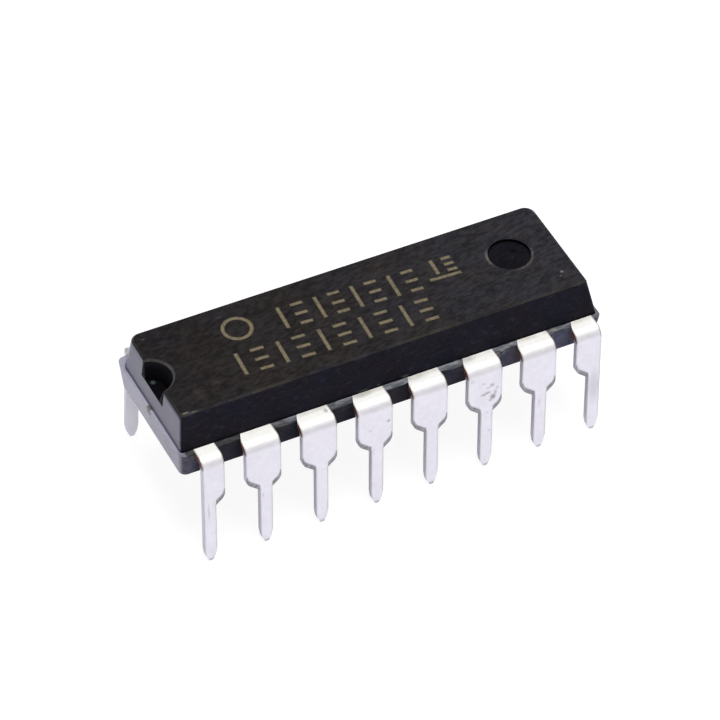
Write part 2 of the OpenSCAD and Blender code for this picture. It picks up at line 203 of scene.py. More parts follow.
def vector_maths(tree, operation, *values):
    """One Vector Math node; returns its vector, or its value for a length or a dot product."""
    node = add(tree, "ShaderNodeVectorMath", dict(enumerate(values)), operation=operation)
    return node.outputs["Value" if operation in ("LENGTH", "DISTANCE", "DOT_PRODUCT") else "Vector"]


def ramp(tree, value, low, high, to_low=0.0, to_high=1.0):
    """A smooth step from low to high; returns the result."""
    return add(tree, "ShaderNodeMapRange", {
        "Value": value, "From Min": low, "From Max": high, "To Min": to_low, "To Max": to_high,
    }, interpolation_type="SMOOTHSTEP").outputs["Result"]


def times(tree, first, *others):
    """The product of masks or values."""
    for other in others:
        first = maths(tree, "MULTIPLY", first, other)
    return first


def greatest(tree, first, *others):
    """The greatest of masks or values."""
    for other in others:
        first = maths(tree, "MAXIMUM", first, other)
    return first


def inverse(tree, mask):
    """The mask of what another one leaves out."""
    return maths(tree, "SUBTRACT", 1.0, mask)


def separate(tree, vector):
    """The X, Y and Z sockets of a vector."""
    return add(tree, "ShaderNodeSeparateXYZ", {0: vector}).outputs


def flattened(tree, vector):
    """A vector with its height taken out."""
    return vector_maths(tree, "MULTIPLY", vector, (1, 1, 0))


def surface_place(tree):
    """Object coordinates and normal of the surface, by axis, and the whole position."""
    given = add(tree, "ShaderNodeTexCoord").outputs
    along, side, height = separate(tree, given["Object"])
    return SimpleNamespace(position=given["Object"], along=along, side=side, height=height,
                           normal=separate(tree, given["Normal"]))


def scaled(colour, factor):
    """A colour made lighter or darker by a factor."""
    return [factor * part for part in colour]


def blend_colours(tree, factor, first, second, mode="MIX"):
    """Mixes two colours by a factor; returns the colour."""
    node = tree.nodes.new("ShaderNodeMix")
    node.data_type = "RGBA"
    node.blend_type = mode
    node.clamp_factor = True
    for index, value in ((0, factor), (6, first), (7, second)):
        if isinstance(value, bpy.types.NodeSocket):
            tree.links.new(value, node.inputs[index])
        else:
            node.inputs[index].default_value = value if index == 0 else (*value[:3], 1.0)
    return node.outputs[2]


def new_group(name, inputs, outputs):
    """A shader node group with its sockets; returns the group, its inputs and its output node."""
    group = bpy.data.node_groups.new(name, "ShaderNodeTree")
    for label, kind, default in inputs:
        socket = group.interface.new_socket(name=label, in_out="INPUT", socket_type=kind)
        if default is not None:
            socket.default_value = default
    for label, kind in outputs:
        group.interface.new_socket(name=label, in_out="OUTPUT", socket_type=kind)
    return group, add(group, "NodeGroupInput").outputs, add(group, "NodeGroupOutput")


def use_group(tree, group, **inputs):
    """Places a group in a tree; an input's name is written with _ for each space."""
    node = tree.nodes.new("ShaderNodeGroup")
    node.node_tree = group
    for name, value in inputs.items():
        socket = node.inputs[name.replace("_", " ")]
        if isinstance(value, bpy.types.NodeSocket):
            tree.links.new(value, socket)
        else:
            socket.default_value = value
    return node.outputs


def new_material(name):
    """An empty material with its shader in place; returns the material, its tree and the shader."""
    material = bpy.data.materials.new(name)
    material.use_nodes = True
    tree = material.node_tree
    tree.nodes.clear()
    shader = add(tree, "ShaderNodeBsdfPrincipled")
    add(tree, "ShaderNodeOutputMaterial", {"Surface": shader.outputs["BSDF"]})
    return material, tree, shader


def connect(tree, shader, **inputs):
    """Sets or links inputs of the shader; an input's name is written with _ for each space."""
    for name, value in inputs.items():
        socket = shader.inputs[name.replace("_", " ")]
        if isinstance(value, bpy.types.NodeSocket):
            tree.links.new(value, socket)
        else:
            socket.default_value = value


def dress(node_names, material):
    """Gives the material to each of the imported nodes."""
    for name in node_names:
        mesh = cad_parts[name].data
        mesh.materials.clear()
        mesh.materials.append(material)


# Shared effects

def mottle_group():
    """Cloudy variation of the surface: a value from 0 to 1 with features of a given size."""
    if "Mottle" in bpy.data.node_groups:
        return bpy.data.node_groups["Mottle"]
    group, given, result = new_group(
        "Mottle",
        [("Position", "NodeSocketVector", None), ("Feature size", "NodeSocketFloat", 0.0005),
         ("Contrast", "NodeSocketFloat", 1.0)],
        [("Value", "NodeSocketFloat")])
    scale = maths(group, "DIVIDE", 1.0, given["Feature size"])
    noise = add(group, "ShaderNodeTexNoise",
                {"Vector": given["Position"], "Scale": scale, "Detail": 4.0, "Roughness": 0.55})
    centred = maths(group, "SUBTRACT", noise.outputs["Fac"], 0.5)
    gain = times(group, given["Contrast"], 2.0)
    spread = maths(group, "MULTIPLY_ADD", centred, gain, 0.5, clamp=True)
    group.links.new(spread, result.inputs["Value"])
    return group


def spot_group():
    """A soft-edged ellipsoid: 1 at its centre and 0 beyond its reach."""
    if "Spot" in bpy.data.node_groups:
        return bpy.data.node_groups["Spot"]
    group, given, result = new_group(
        "Spot",
        [("Position", "NodeSocketVector", None), ("Centre", "NodeSocketVector", None),
         ("Reach", "NodeSocketVector", None), ("Core", "NodeSocketFloat", 0.5)],
        [("Mask", "NodeSocketFloat")])
    offset = vector_maths(group, "SUBTRACT", given["Position"], given["Centre"])
    distance = vector_maths(group, "LENGTH", vector_maths(group, "DIVIDE", offset, given["Reach"]))
    group.links.new(ramp(group, distance, 1.0, given["Core"]), result.inputs["Mask"])
    return group


def hollow_group():
    """Walls and floor of a round hollow that opens upwards: 1 inside it and 0 elsewhere."""
    if "Hollow" in bpy.data.node_groups:
        return bpy.data.node_groups["Hollow"]
    group, given, result = new_group(
        "Hollow",
        [("Position", "NodeSocketVector", None), ("Centre", "NodeSocketVector", None),
         ("Radius", "NodeSocketFloat", 0.001), ("Depth", "NodeSocketFloat", 0.001)],
        [("Mask", "NodeSocketFloat")])
    offset = vector_maths(group, "SUBTRACT", given["Position"], given["Centre"])
    from_axis = vector_maths(group, "LENGTH", flattened(group, offset))
    within = maths(group, "LESS_THAN", from_axis, given["Radius"])
    height = separate(group, offset)["Z"]
    below_rim = ramp(group, height, -0.01 * MM, -0.03 * MM)
    from_floor = maths(group, "ADD", height, given["Depth"])
    above_floor = maths(group, "GREATER_THAN", from_floor, -0.01 * MM)
    group.links.new(times(group, within, below_rim, above_floor), result.inputs["Mask"])
    return group


def stroke_mask(tree, across, upwards, centre, half_size):
    """One straight soft-edged stroke, from a point's two coordinates; returns its mask."""
    gaps = []
    for value, middle, half in zip((across, upwards), centre, half_size):
        from_middle = maths(tree, "ABSOLUTE", maths(tree, "SUBTRACT", value, middle))
        gaps.append(maths(tree, "SUBTRACT", from_middle, half))
    return ramp(tree, greatest(tree, *gaps), STROKE_EDGE, -STROKE_EDGE)


def marking_row_group():
    """A row of plain marks, an upright bar and three dashes in turn, within a length."""
    if "Marking row" in bpy.data.node_groups:
        return bpy.data.node_groups["Marking row"]
    group, given, result = new_group(
        "Marking row",
        [("Position", "NodeSocketVector", None), ("Start", "NodeSocketVector", None),
         ("Length", "NodeSocketFloat", 0.006), ("Pitch", "NodeSocketFloat", 0.0008),
         ("Height", "NodeSocketFloat", 0.0013), ("Stroke", "NodeSocketFloat", 0.00015)],
        [("Mask", "NodeSocketFloat")])
    offset = separate(group, vector_maths(group, "SUBTRACT", given["Position"], given["Start"]))
    across = maths(group, "FLOORED_MODULO", offset["X"], times(group, given["Pitch"], 2.0))
    half_stroke = times(group, given["Stroke"], 0.5)
    half_height = times(group, given["Height"], 0.5)
    high = maths(group, "SUBTRACT", given["Height"], half_stroke)
    bar_x = times(group, given["Pitch"], 0.5)
    dash_x = times(group, given["Pitch"], 1.5)
    half_dash = times(group, given["Pitch"], 0.32)
    strokes = [stroke_mask(group, across, offset["Y"], (bar_x, half_height),
                           (half_stroke, half_height))]
    for y in (half_stroke, half_height, high):
        strokes.append(stroke_mask(group, across, offset["Y"], (dash_x, y),
                                   (half_dash, half_stroke)))
    half_length = times(group, given["Length"], 0.5)
    window = stroke_mask(group, offset["X"], offset["Y"], (half_length, half_height),
                         (half_length, given["Height"]))
    group.links.new(times(group, greatest(group, *strokes), window), result.inputs["Mask"])
    return group


# Settings

class MouldingSettings(bpy.types.PropertyGroup):
    """Colours and surface of the moulded body"""
    top_colour: FloatVectorProperty(
        name="Top colour", description="Colour of the top face", subtype="COLOR", size=3,
        min=0, max=1, default=(0.0085, 0.0064, 0.0066))
    # Painted sheen: the top turns to this paler, bluer colour towards the end away from the notch
    far_colour: FloatVectorProperty(
        name="Far top colour", description="Colour of the top face at the end away from the notch",
        subtype="COLOR", size=3, min=0, max=1, default=(0.0094, 0.0089, 0.0128))
    side_colour: FloatVectorProperty(
        name="Side colour", description="Colour of the long sides", subtype="COLOR", size=3,
        min=0, max=1, default=(0.0085, 0.0080, 0.0120))
    # Painted reflection: the two end colours below are far paler than the sides' colours
    end_colour: FloatVectorProperty(
        name="End colour", description="Colour of the smooth ends", subtype="COLOR", size=3,
        min=0, max=1, default=(0.040, 0.040, 0.066))
    lower_end_colour: FloatVectorProperty(
        name="Lower ends", description="Colour of the lower half's ends", subtype="COLOR", size=3,
        min=0, max=1, default=(0.12, 0.12, 0.155))
    lower_colour: FloatVectorProperty(
        name="Lower half", description="Colour of the lower half's long sides", subtype="COLOR",
        size=3, min=0, max=1, default=(0.019, 0.019, 0.026))
    # Painted highlight on the rims of the top face, of the ejector recess and of the notch
    rim_highlight_colour: FloatVectorProperty(
        name="Worn edges", description="Colour of the rounded rim of the top face and notch",
        subtype="COLOR", size=3, min=0, max=1, default=(0.026, 0.0245, 0.023))
    resin_colour: FloatVectorProperty(
        name="Resin skin", description="Colour of the pale skin along the parting line",
        subtype="COLOR", size=3, min=0, max=1, default=(0.16, 0.17, 0.19))
    mottle_size: FloatProperty(
        name="Mottling", description="Size of the cloudy variation", subtype="DISTANCE",
        unit="LENGTH", min=0.0001, max=0.003, default=0.0011)
    grain_size: FloatProperty(
        name="Grain", description="Size of the surface's fine grain", subtype="DISTANCE",
        unit="LENGTH", min=0.00001, max=0.0005, default=0.00011)


class MarkingSettings(bpy.types.PropertyGroup):
    """Size, place and colour of the plain printed marks on the top face"""
    colour: FloatVectorProperty(
        name="Colour", description="Colour of the marks", subtype="COLOR", size=3,
        min=0, max=1, default=(0.145, 0.120, 0.074))
    turn: FloatProperty(
        name="Turn", description="Turn of the marks on the top face", subtype="ANGLE",
        unit="ROTATION", default=math.radians(-2.7))
    stroke: FloatProperty(
        name="Stroke", description="Width of a stroke", subtype="DISTANCE", unit="LENGTH",
        min=0.00005, max=0.0005, default=0.00015)
    height: FloatProperty(
        name="Height", description="Height of a row of marks", subtype="DISTANCE",
        unit="LENGTH", min=0.0005, max=0.002, default=0.00128)
    ring_radius: FloatProperty(
        name="Ring radius", description="Radius of the plain ring beside the rows",
        subtype="DISTANCE", unit="LENGTH", min=0.0002, max=0.001, default=0.0006)


class LeadSettings(bpy.types.PropertyGroup):
    """Colours of the leads"""
    tin_colour: FloatVectorProperty(
        name="Tin", description="Colour of the matt tin plate", subtype="COLOR", size=3,
        min=0, max=1, default=(0.745, 0.730, 0.760))
    # Painted highlight: the tin's upward faces take this paler colour
    flat_highlight_colour: FloatVectorProperty(
        name="Flats", description="Colour of the tin on the flats beside the body",
        subtype="COLOR", size=3, min=0, max=1, default=(0.80, 0.795, 0.765))
    copper_colour: FloatVectorProperty(
        name="Copper", description="Colour of the strip where it was cut", subtype="COLOR", size=3,
        min=0, max=1, default=(0.21, 0.075, 0.045))


class StageSettings(bpy.types.PropertyGroup):
    """Place and lens of the camera"""
    elevation: FloatProperty(
        name="Elevation", description="Height angle of the camera", subtype="ANGLE",
        unit="ROTATION", default=math.radians(44.849))
    azimuth: FloatProperty(
        name="Azimuth", description="Turn of the camera round the part, from the front",
        subtype="ANGLE", unit="ROTATION", default=math.radians(-27.575))
    roll: FloatProperty(
        name="Roll", description="Roll of the camera", subtype="ANGLE", unit="ROTATION",
        default=math.radians(1.686))
    distance: FloatProperty(
        name="Distance", description="Distance from the camera to its target",
        subtype="DISTANCE", unit="LENGTH", min=0.05, default=0.19415)
    lens: FloatProperty(
        name="Lens", description="Focal length of the lens, in millimetres", unit="CAMERA",
        min=20, default=229.17)


# Materials

def marks_mask(tree, position, marks):
    """The strongest of a table of soft spots at each point."""
    spots = []
    for centre, reach, strength in marks:
        spot = use_group(tree, spot_group(), Position=position, Core=0.2,
                         Centre=Vector(centre) * MM, Reach=Vector(reach) * MM)["Mask"]
        spots.append(times(tree, spot, strength))
    return greatest(tree, *spots)


def marking_mask(tree, position, settings):
    """Mask of the plain marks, in a frame turned a little on the top face."""
    turned = add(tree, "ShaderNodeMapping", {
        "Vector": position, "Rotation": (0.0, 0.0, -settings.turn)}).outputs["Vector"]
    masks = []
    for start, length, pitch, share in MARKING_ROWS:
        row = use_group(tree, marking_row_group(), Position=turned, Start=Vector(start) * MM,
                        Length=length * MM, Pitch=pitch * MM, Height=share * settings.height,
                        Stroke=settings.stroke)
        masks.append(row["Mask"])
    place = separate(tree, turned)
    masks.append(stroke_mask(tree, place["X"], place["Y"], UNDERLINE_CENTRE,
                             (UNDERLINE_HALF, settings.stroke / 2)))
    from_middle = vector_maths(tree, "DISTANCE", flattened(tree, turned), RING_CENTRE)
    off_ring = maths(tree, "ABSOLUTE", maths(tree, "SUBTRACT", from_middle, settings.ring_radius))
    off_stroke = maths(tree, "SUBTRACT", off_ring, settings.stroke / 2)
    masks.append(ramp(tree, off_stroke, STROKE_EDGE, -STROKE_EDGE))
    return greatest(tree, *masks)


def moulding_patterns(tree, position, settings):
    """Variation of the moulding: broad clouds, tones of colour, drawn-out streaks and grain."""
    mottle = mottle_group()
    clouds = use_group(tree, mottle, Position=position, Contrast=1.3,
                       Feature_size=settings.mottle_size)["Value"]
    moved = vector_maths(tree, "ADD", position, (0.05, 0.02, 0.0))
    tones = use_group(tree, mottle, Position=moved, Contrast=1.5,
                      Feature_size=1.6 * settings.mottle_size)["Value"]
    swung = add(tree, "ShaderNodeMapping", {
        "Vector": position, "Rotation": (0.0, 0.0, -STREAK_TURN)}).outputs["Vector"]
    drawn_out = vector_maths(tree, "MULTIPLY", swung, STREAK_SHAPE)
    streaks = use_group(tree, mottle, Position=drawn_out, Contrast=1.2,
                        Feature_size=1.4 * settings.grain_size)["Value"]
    grain = use_group(tree, mottle, Position=position, Contrast=1.2,
                      Feature_size=settings.grain_size)["Value"]
    return SimpleNamespace(clouds=clouds, tones=tones, streaks=streaks, grain=grain)


def moulding_masks(tree, at):
    """Masks of the moulding's faces, rim, ledge and hollows, and of the shade on its ends."""
    up = ramp(tree, at.normal["Z"], 0.8, 0.95)
    endwise = maths(tree, "ABSOLUTE", at.normal["X"])
    rear_corner = times(tree, ramp(tree, at.side, 1.8 * MM, 2.3 * MM),
                        ramp(tree, endwise, 0.1, 0.5))
    end = greatest(tree, ramp(tree, endwise, 0.6, 0.95), rear_corner)
    near_top = ramp(tree, at.height, TOP_Z - 0.12 * MM, TOP_Z - 0.10 * MM)
    rim = times(tree, ramp(tree, at.normal["Z"], 0.35, 0.6), near_top, inverse(tree, up))
    from_parting = maths(tree, "ABSOLUTE", maths(tree, "SUBTRACT", at.height, PARTING_Z))
    notch = use_group(tree, hollow_group(), Position=at.position, Centre=NOTCH_CENTRE,
                      Radius=NOTCH_RADIUS, Depth=NOTCH_DEPTH)["Mask"]
    recess = use_group(tree, hollow_group(), Position=at.position, Centre=RECESS_CENTRE,
                       Radius=RECESS_RADIUS, Depth=RECESS_DEPTH)["Mask"]
    return SimpleNamespace(
        up=up, end=end, rim=rim, notch=notch, recess=recess,
        top=times(tree, up, ramp(tree, at.height, TOP_Z - 0.02 * MM, TOP_Z - 0.01 * MM)),
        below=ramp(tree, at.height, PARTING_Z - 0.01 * MM, PARTING_Z - 0.03 * MM),
        ledge=times(tree, up, ramp(tree, from_parting, 0.03 * MM, 0.01 * MM)),
        hollow=times(tree, greatest(tree, notch, recess), inverse(tree, rim)),
        end_shade=times(tree, end, ramp(tree, at.height, TOP_Z - 0.34 * MM, TOP_Z - 0.06 * MM),
                        ramp(tree, at.side, -0.5 * MM, 0.8 * MM, 0.8, 0.2)))


def face_colours(tree, at, on, settings):
    """Plain colour of each face, with painted reflections paling the top's far end, the ends, and
    the lower half near both ends.
    """
    # Painted sheen: the top grows paler towards the end away from the notch
    top = blend_colours(tree, ramp(tree, at.along, -2 * MM, 9 * MM),
                        settings.top_colour, settings.far_colour)
    colour = blend_colours(tree, on.below, settings.side_colour, settings.lower_colour)
    # Painted reflection: the lower half's sides grow paler near both ends
    reflection_near_ends = greatest(tree, ramp(tree, at.along, 1 * MM, 8 * MM),
                     ramp(tree, at.along, FIRST_PIN_X + 0.5 * MM, FIRST_PIN_X - 0.5 * MM))
    colour = blend_colours(tree, times(tree, on.below, reflection_near_ends), colour,
                           scaled(settings.lower_colour, 4.0))
    colour = blend_colours(tree, on.up, colour, top)
    # Painted reflection: the ends take their much paler colours
    end = blend_colours(tree, on.below, settings.end_colour, settings.lower_end_colour)
    return blend_colours(tree, on.end, colour, end)


def paint_rim_highlights(tree, colour, at, on, clouds, rim_highlight_colour):
    """Paints highlights on the rims of the top face, of the ejector recess and of the notch."""
    # Painted highlight along the rim of the top face
    rim_highlight = times(tree, on.rim, ramp(tree, clouds, 0.2, 0.7, 0.5, 1.0))
    colour = blend_colours(tree, rim_highlight, colour, rim_highlight_colour)

    flat = flattened(tree, at.position)
    middle = Vector((*RECESS_CENTRE.xy, 0))
    from_recess = vector_maths(tree, "DISTANCE", flat, middle)
    beside = ramp(tree, from_recess, RECESS_RADIUS + 0.15 * MM, RECESS_RADIUS + 0.05 * MM)
    away = vector_maths(tree, "NORMALIZE", vector_maths(tree, "SUBTRACT", flat, middle))
    # The recess rim's painted highlight is strongest on its left arc and lower right arc
    left = ramp(tree, vector_maths(tree, "DOT_PRODUCT", away, (-0.98, 0.15, 0)), 0.80, 0.98)
    right = ramp(tree, vector_maths(tree, "DOT_PRODUCT", away, (0.60, -0.80, 0)), 0.45, 0.95)
    arcs = greatest(tree, left, times(tree, right, 0.6))
    colour = blend_colours(tree, times(tree, on.top, beside, arcs), colour,
                           scaled(rim_highlight_colour, 2.4))

    # Painted highlight on the notch's rim, strongest towards the front
    from_notch = vector_maths(tree, "DISTANCE", flat, Vector((*NOTCH_CENTRE.xy, 0)))
    around = maths(tree, "LESS_THAN", from_notch, NOTCH_RADIUS + 0.05 * MM)
    off_end = maths(tree, "GREATER_THAN", at.along, NOTCH_CENTRE.x + 0.25 * MM)
    to_front = ramp(tree, at.side, 0.8 * MM, 0.1 * MM, 0.35, 1.0)
    notch_rim = times(tree, on.rim, around, off_end, to_front)
    return blend_colours(tree, notch_rim, colour, scaled(rim_highlight_colour, 2.6))


def shade_and_speck_sides(tree, colour, at, on, settings):
    """Paints shade on the upper ends and a shadow line above the leads, and adds specks to the
    sides.
    """
    colour = blend_colours(tree, on.end_shade, colour, settings.top_colour)
    squeezed = vector_maths(tree, "MULTIPLY", at.position, (0.6, 1.0, 1.4))
    specks = use_group(tree, mottle_group(), Position=squeezed, Contrast=2.4,
                       Feature_size=0.22 * MM)["Value"]
    specks = times(tree, ramp(tree, specks, 0.93, 1.0, 0.0, 0.25), inverse(tree, on.up))
    colour = blend_colours(tree, specks, colour, scaled(settings.side_colour, 3.0))
    # Painted shadow along the long sides just above the leads
    shadow_above_leads = ramp(tree, at.height, LEAD_TOP_Z + 0.15 * MM, LEAD_TOP_Z + 0.05 * MM)
    long_side = times(tree, inverse(tree, greatest(tree, on.below, on.up)), inverse(tree, on.end))
    return blend_colours(tree, times(tree, shadow_above_leads, long_side, 0.7), colour, LEAD_ROOT_SHADOW_COLOUR)


def vary_colour(tree, colour, on, patterns):
    """Turns the colour cooler or warmer, and lighter or darker, more so on the top."""
    tint = blend_colours(tree, patterns.tones, COOL_TINT, WARM_TINT)
    colour = blend_colours(tree, 1.0, colour, tint, mode="MULTIPLY")
    lightness = 0.12
    for pattern, share in ((patterns.clouds, 0.44), (patterns.streaks, 0.56),
                           (patterns.grain, 0.76)):
        lightness = maths(tree, "MULTIPLY_ADD", pattern, share, lightness)
    evened = maths(tree, "MULTIPLY_ADD", lightness, 0.55, 0.45)
    lightness = add(tree, "ShaderNodeMix", {0: on.up, 2: evened, 3: lightness}).outputs[0]
    shade = add(tree, "ShaderNodeCombineColor", dict.fromkeys(range(3), lightness)).outputs[0]
    return blend_colours(tree, 1.0, colour, shade, mode="MULTIPLY")


def pale_ledges(tree, colour, at, on, resin_colour):
    """Adds the pale skin of resin beside the leads, and the pale ledge of the notch end."""
    drawn_out = vector_maths(tree, "MULTIPLY", at.position, (0.25, 1.0, 1.0))
    lines = use_group(tree, mottle_group(), Position=drawn_out, Contrast=1.6,
                      Feature_size=0.10 * MM)["Value"]
    skin = times(tree, on.ledge,
                 ramp(tree, maths(tree, "ABSOLUTE", at.side), WALL_Y + 0.42 * MM, WALL_Y),
                 ramp(tree, lines, 0.1, 0.9, 0.35, 1.0),
                 ramp(tree, at.along, -6.6 * MM, -4.6 * MM, 0.32, 1.0),
                 ramp(tree, at.along, -1.5 * MM, 0.2 * MM, 1.0, 1.7),
                 ramp(tree, at.along, 1.8 * MM, 3.2 * MM, 1.0, 0.55))
    colour = blend_colours(tree, skin, colour, resin_colour)
    wider = ramp(tree, at.side, -1 * MM, 1 * MM, 0.0, 0.16 * MM)
    end_ledge = times(tree, on.ledge,
                      ramp(tree, maths(tree, "SUBTRACT", at.along, wider),
                           BODY_LOW.x + 0.34 * MM, BODY_LOW.x + 0.20 * MM),
                      ramp(tree, at.side, 1.9 * MM, 2.6 * MM, 1.0, 0.7),
                      ramp(tree, at.side, -2.4 * MM, -3.0 * MM, 1.0, 0.35))
    return blend_colours(tree, end_ledge, colour, LEDGE_COLOUR)


def shade_hollows(tree, colour, at, on, streaks, settings):
    """Paints shade into the notch and the ejector recess, with one painted glint of light in the
    notch.
    """
    high_in_notch = times(tree, on.notch,
                          ramp(tree, at.height, TOP_Z - 0.45 * MM, TOP_Z - 0.08 * MM))
    # Painted shade in the hollows, deepest low in the notch
    tone = blend_colours(tree, high_in_notch, scaled(settings.far_colour, 0.18),
                         scaled(settings.far_colour, 0.75))
    colour = blend_colours(tree, on.hollow, colour, tone)
    recess_floor = times(tree, on.recess, on.up, ramp(tree, streaks, 0.1, 0.9, 0.25, 0.75))
    colour = blend_colours(tree, recess_floor, colour, settings.side_colour)
    glint = use_group(tree, spot_group(), Position=at.position, Core=0.1, Centre=GLINT_CENTRE,
                      Reach=GLINT_REACH)["Mask"]
    return blend_colours(tree, times(tree, glint, on.notch), colour, GLINT_COLOUR)


def moulding_material(settings, marking):
    """Matt black-brown moulding compound: bluer sides, smooth ends, plain marks on top."""
    material, tree, shader = new_material("Moulding")
    at = surface_place(tree)
    on = moulding_masks(tree, at)
    patterns = moulding_patterns(tree, at.position, settings)
    colour = face_colours(tree, at, on, settings)
    colour = paint_rim_highlights(tree, colour, at, on, patterns.clouds, settings.rim_highlight_colour)
    colour = shade_and_speck_sides(tree, colour, at, on, settings)
    colour = vary_colour(tree, colour, on, patterns)
    colour = pale_ledges(tree, colour, at, on, settings.resin_colour)
    colour = shade_hollows(tree, colour, at, on, patterns.streaks, settings)
    ink = times(tree, on.top, marking_mask(tree, at.position, marking),
                ramp(tree, patterns.grain, 0.1, 0.7, 0.6, 1.0))
    colour = blend_colours(tree, ink, colour, marking.colour)
    # Scuffs and flakes, with painted highlights at the top's front-left corner and the notch's far
    # rim
    scuffs_and_highlights = marks_mask(tree, at.position, SCUFFS_AND_HIGHLIGHTS)
    colour = blend_colours(tree, scuffs_and_highlights, colour, SCUFF_AND_HIGHLIGHT_COLOUR)

    end_gloss = times(tree, on.end, maths(tree, "MULTIPLY_ADD", on.end_shade, -1.06, 0.9))
    faces_down = times(tree, ramp(tree, at.normal["Z"], -0.25, -0.5),
                       ramp(tree, at.normal["Z"], -0.98, -0.85))
    top_gloss = times(tree, on.up, ramp(tree, patterns.streaks, 0.1, 0.9, 0.08, 0.22))
    gloss = greatest(tree, end_gloss, times(tree, faces_down, 0.8), top_gloss)
    gloss = times(tree, gloss, inverse(tree, on.hollow))
    uneven = maths(tree, "ADD", patterns.grain, patterns.streaks)
    bump = add(tree, "ShaderNodeBump", {"Height": uneven, "Strength": 0.3, "Distance": 0.01 * MM})
    connect(tree, shader, Base_Color=colour, Normal=bump.outputs["Normal"],
            Roughness=maths(tree, "MULTIPLY_ADD", patterns.grain, 0.15, 0.45),
            Specular_IOR_Level=0.03, Coat_Weight=gloss, Coat_Roughness=0.28, Coat_IOR=1.6)
    return material


def beside_pins(tree, along):
    """Distance to the right of the nearest pin's centreline, and the same to its left."""
    half_pitch = LEAD_PITCH / 2
    shifted = maths(tree, "ADD", along, half_pitch - SECOND_PIN_X)
    wrapped = maths(tree, "FLOORED_MODULO", shifted, LEAD_PITCH)
    from_pin = maths(tree, "SUBTRACT", wrapped, half_pitch)
    return from_pin, times(tree, from_pin, -1.0)


def shoulder_curve(tree, outwards, height, half_width):
    """Mask of the rolled-over lower edge of one shoulder, where shade is painted: a rounded corner
    and a slope.
    """
    corner_x = half_width - SHOULDER_RADIUS
    run = corner_x + SHOULDER_RADIUS * math.sin(SHOULDER_SLOPE) - PIN_HALF
    rise = run * math.tan(SHOULDER_SLOPE) + SHOULDER_RADIUS * math.cos(SHOULDER_SLOPE)
    offset_x = maths(tree, "SUBTRACT", outwards, corner_x)
    offset_z = maths(tree, "SUBTRACT", height, NECK_Z + rise)
    offset = add(tree, "ShaderNodeCombineXYZ", {0: offset_x, 1: offset_z}).outputs[0]
    end_of_arc = times(tree, offset_x, -1 / math.tan(SHOULDER_SLOPE))
    arc = times(tree, maths(tree, "LESS_THAN", offset_z, 0.0),
                maths(tree, "GREATER_THAN", offset_z, end_of_arc),
                ramp(tree, vector_maths(tree, "LENGTH", offset),
                     SHOULDER_RADIUS - ROLLED_WIDTH, SHOULDER_RADIUS))
    above_neck = times(tree, maths(tree, "SUBTRACT", height, NECK_Z), math.cos(SHOULDER_SLOPE))
    beyond_pin = maths(tree, "SUBTRACT", outwards, PIN_HALF)
    inside = maths(tree, "MULTIPLY_ADD", beyond_pin, -math.sin(SHOULDER_SLOPE), above_neck)
    straight = times(tree, ramp(tree, inside, ROLLED_WIDTH, 0.0),
                     ramp(tree, outwards, PIN_HALF - 0.03 * MM, PIN_HALF + 0.03 * MM))
    return greatest(tree, arc, straight)


def punched_edges(tree, along, height, from_pin, mirrored):
    """Mask of the rolled-over upright edges of the leads, worked out from the pitch of the pins;
    shade is painted along them.
    """
    def edge(distance, half_width):
        return ramp(tree, distance, half_width - EDGE_BAND, half_width)

    pin = times(tree, edge(maths(tree, "ABSOLUTE", from_pin), PIN_HALF),
                ramp(tree, height, NECK_Z, NECK_Z - 0.2 * MM))
    first = times(tree, edge(mirrored, PIN_HALF), maths(tree, "LESS_THAN", along, FIRST_PIN_X))
    last = times(tree, edge(from_pin, PIN_HALF), maths(tree, "GREATER_THAN", along, LAST_PIN_X))
    return greatest(tree, edge(from_pin, SHOULDER_RIGHT), edge(mirrored, SHOULDER_LEFT),
                    pin, first, last)


